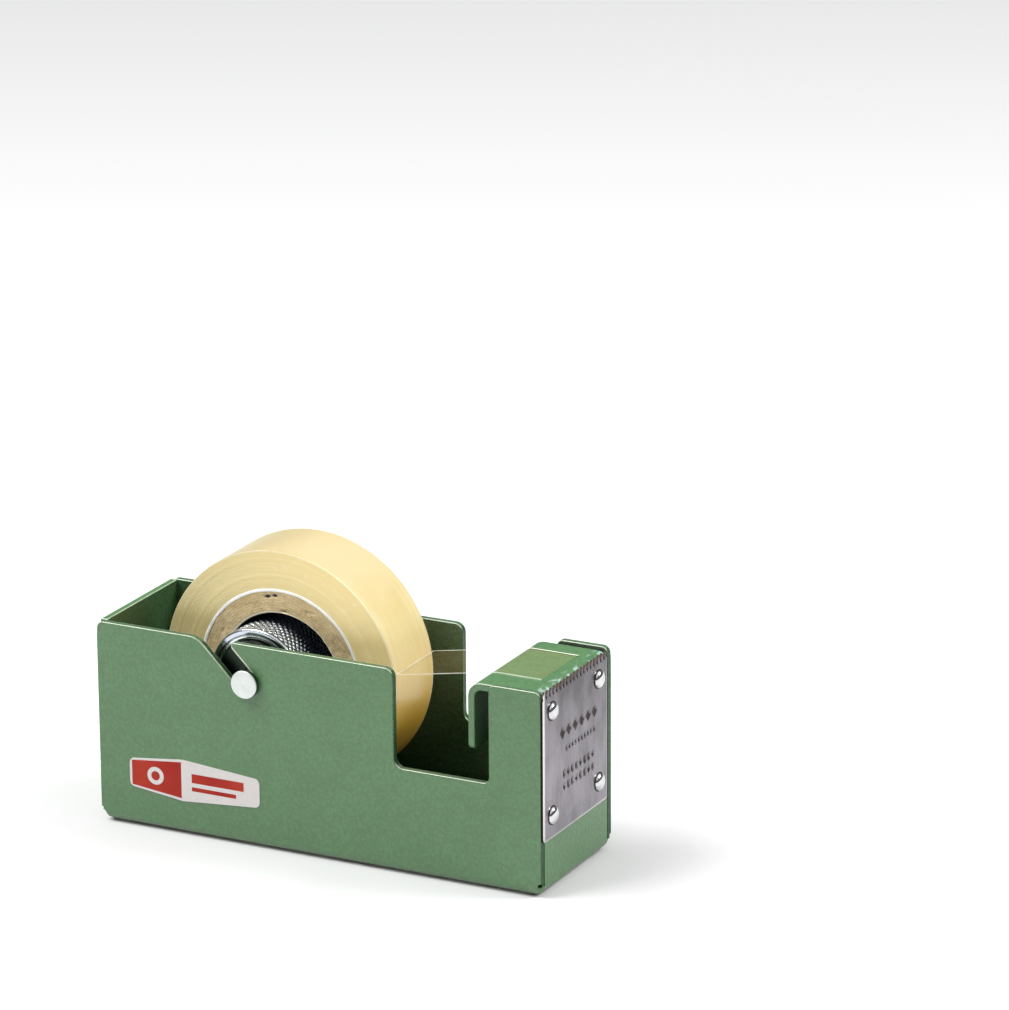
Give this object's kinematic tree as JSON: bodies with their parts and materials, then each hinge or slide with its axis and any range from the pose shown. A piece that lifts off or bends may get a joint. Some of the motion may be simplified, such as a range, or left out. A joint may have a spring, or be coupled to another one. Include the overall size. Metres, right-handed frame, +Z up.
{
  "type": "tape dispenser",
  "caption": "Small desk tape dispenser: folded sheet steel case, riveted toothed cutter, and a tape roll hanging on a knurled hub whose axle lifts out of slanted slots.",
  "frame": {"origin": "bottom centre of the whole object's box, on the desk", "axes": "+X along the case towards the cutter, -Y out of the labelled side, +Z up"},
  "size_m": [0.1018, 0.0346, 0.0607],
  "materials": {
    "case_paint": "mid green fine pebbled enamel, semi-gloss",
    "cutter_steel": "satin rolled steel with faint blotches",
    "rivet_steel": "polished domed heads",
    "label_paper": "thin coated sticker, red and off-white",
    "ballast_steel": "blackened",
    "screw_steel": "zinc plated",
    "pad_rubber": "light grey, matt, fine grained",
    "tape_film": "clear film with a sticky underside",
    "axle_metal": "satin turned",
    "hub_metal": "polished with a fine diamond knurl",
    "hub_dark_metal": "plain turned",
    "core_board": "grey-brown board, matt",
    "liner_paper": "white paper",
    "tape_roll_film": "pale yellow, slightly translucent, wound film"
  },
  "bodies": {
    "base": {"body_shell": "case_paint", "cutter_blade": "cutter_steel", "blade_rivets": "rivet_steel", "front_label": "label_paper", "ballast_block": "ballast_steel", "ballast_screws": "screw_steel", "base_pad": "pad_rubber", "tape_leader": "tape_film"},
    "axle": {"axle_shaft": "axle_metal", "axle_button_front": "axle_metal", "axle_button_rear": "axle_metal"},
    "hub": {"hub_sleeve": "hub_metal", "hub_disc_front": "hub_dark_metal", "hub_disc_rear": "hub_dark_metal"},
    "roll": {"paper_core": "core_board", "core_liner": "liner_paper", "tape_winding": "tape_roll_film"}
  },
  "joints": [
    {"name": "axle_lift", "type": "slide", "parent": "base", "child": "axle", "axis": [-0.7071, 0, 0.7071], "range_m": [0, 0.0105]},
    {"name": "roll_spin", "type": "hinge", "parent": "axle", "child": "roll", "pos_m": [-0.01349, 0, 0.03431], "axis": [0, 1, 0], "continuous": true},
    {"name": "hub_spin", "type": "hinge", "parent": "axle", "child": "hub", "pos_m": [-0.01625, 0, 0.0352], "axis": [0, 1, 0], "continuous": true}
  ],
  "couplings": [
    {"joint": "hub_spin", "follows": "roll_spin", "ratio": 1.2941}
  ]
}
